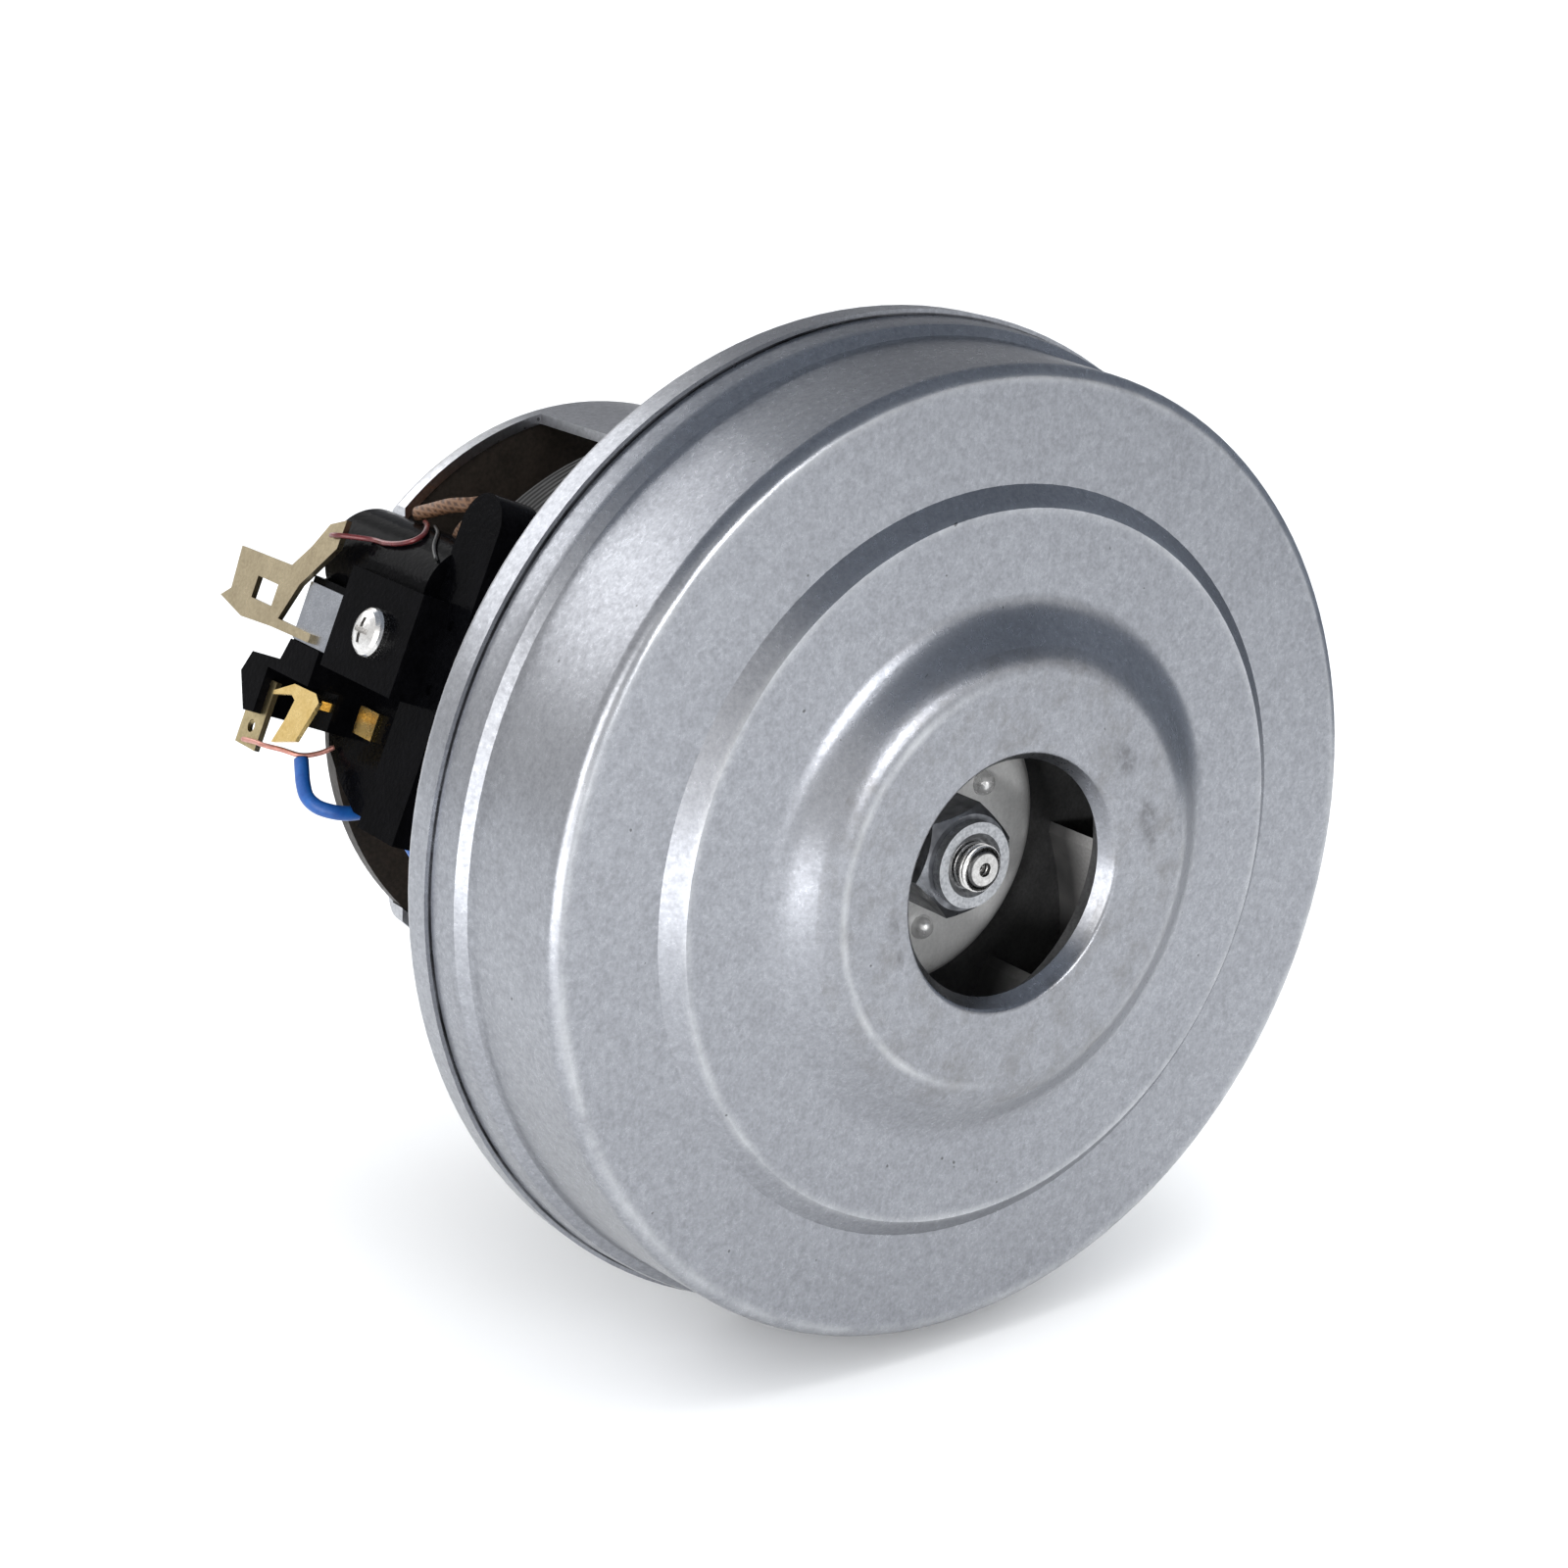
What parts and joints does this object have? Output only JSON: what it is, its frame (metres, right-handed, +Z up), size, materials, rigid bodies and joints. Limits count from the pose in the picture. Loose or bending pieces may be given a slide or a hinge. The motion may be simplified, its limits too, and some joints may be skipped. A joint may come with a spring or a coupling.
{
  "type": "vacuum motor unit",
  "caption": "Vacuum motor unit: a single stage fan in a stepped galvanised steel case, with an open yoke motor and carbon brush holders behind it.",
  "frame": {"origin": "on the shaft axis, at the rear end of the rim band's straight wall", "axes": "+X along the shaft towards the inlet, +Z up with the yoke straps above and below the axis"},
  "size_m": [0.1161, 0.13, 0.13],
  "materials": {
    "zinc_steel": "galvanised, satin",
    "bright_steel": "bright",
    "fan_alloy": "satin",
    "core_steel": "varnished sheet stack",
    "winding": "enamelled copper",
    "copper": "worn",
    "brass": "satin",
    "black_moulding": "glossy moulding",
    "dark_board": "matte",
    "guide_plastic": "matte",
    "carbon": "matte carbon",
    "rubber": "matte",
    "blue_cover": "insulation",
    "red_enamel": "enamelled wire",
    "black_cover": "insulation",
    "brown_cover": "woven sleeve"
  },
  "bodies": {
    "frame": {"fan_cover": "zinc_steel", "motor_bracket": "zinc_steel", "diffuser": "guide_plastic", "diffuser_screws": "bright_steel", "front_outer_ring": "bright_steel", "rear_outer_ring": "bright_steel", "bearing_cushion": "rubber", "motor_yoke": "zinc_steel", "yoke_screws": "bright_steel", "end_disc": "dark_board", "stator_core": "core_steel", "coil_core_top": "winding", "coil_core_bottom": "winding", "coil_wire_top": "winding", "coil_wire_bottom": "winding", "holder_near": "black_moulding", "holder_far": "black_moulding", "holder_screws": "bright_steel", "tube_near": "brass", "tube_far": "brass", "spring_near": "bright_steel", "spring_far": "bright_steel", "cap_near": "bright_steel", "cap_far": "bright_steel", "terminal_near": "brass", "terminal_far": "brass", "clip_near": "brass", "clip_far": "brass", "lead_tab_near": "brass", "lead_tab_far": "brass", "contact_near": "brass", "contact_far": "brass", "blue_leads": "blue_cover", "red_wires": "red_enamel", "copper_wires": "copper", "black_wires": "black_cover", "wire_sleeves": "brown_cover"},
    "rotor": {"shaft": "bright_steel", "armature_core": "core_steel", "armature_winding": "winding", "commutator_hub": "dark_board", "commutator_bars": "copper", "fan_back": "fan_alloy", "fan_front": "fan_alloy", "fan_vanes": "fan_alloy", "fan_hub": "fan_alloy", "fan_rivets": "fan_alloy", "fan_nut": "bright_steel", "fan_spacer": "bright_steel", "front_inner_ring": "bright_steel", "rear_inner_ring": "bright_steel"},
    "front_ball_set": {"front_balls": "bright_steel", "front_cage": "brass"},
    "rear_ball_set": {"rear_balls": "bright_steel", "rear_cage": "brass"},
    "near_brush": {"brush_near": "carbon"},
    "far_brush": {"brush_far": "carbon"}
  },
  "joints": [
    {"name": "rotor_spin", "type": "hinge", "parent": "frame", "child": "rotor", "pos_m": [0, 0, 0], "axis": [1, 0, 0], "continuous": true},
    {"name": "front_ball_spin", "type": "hinge", "parent": "frame", "child": "front_ball_set", "pos_m": [0, 0, 0], "axis": [1, 0, 0], "continuous": true},
    {"name": "rear_ball_spin", "type": "hinge", "parent": "frame", "child": "rear_ball_set", "pos_m": [0, 0, 0], "axis": [1, 0, 0], "continuous": true},
    {"name": "near_brush_slide", "type": "slide", "parent": "frame", "child": "near_brush", "axis": [0, -0.9336, 0.3584], "range_m": [0, 0.005], "stiffness_N_per_m": 200, "springref_m": -0.004, "deforming": ["spring_near"]},
    {"name": "far_brush_slide", "type": "slide", "parent": "frame", "child": "far_brush", "axis": [0, 0.9336, -0.3584], "range_m": [0, 0.005], "stiffness_N_per_m": 200, "springref_m": -0.004, "deforming": ["spring_far"]}
  ],
  "couplings": [
    {"joint": "front_ball_spin", "follows": "rotor_spin", "ratio": 0.37},
    {"joint": "rear_ball_spin", "follows": "rotor_spin", "ratio": 0.37}
  ]
}
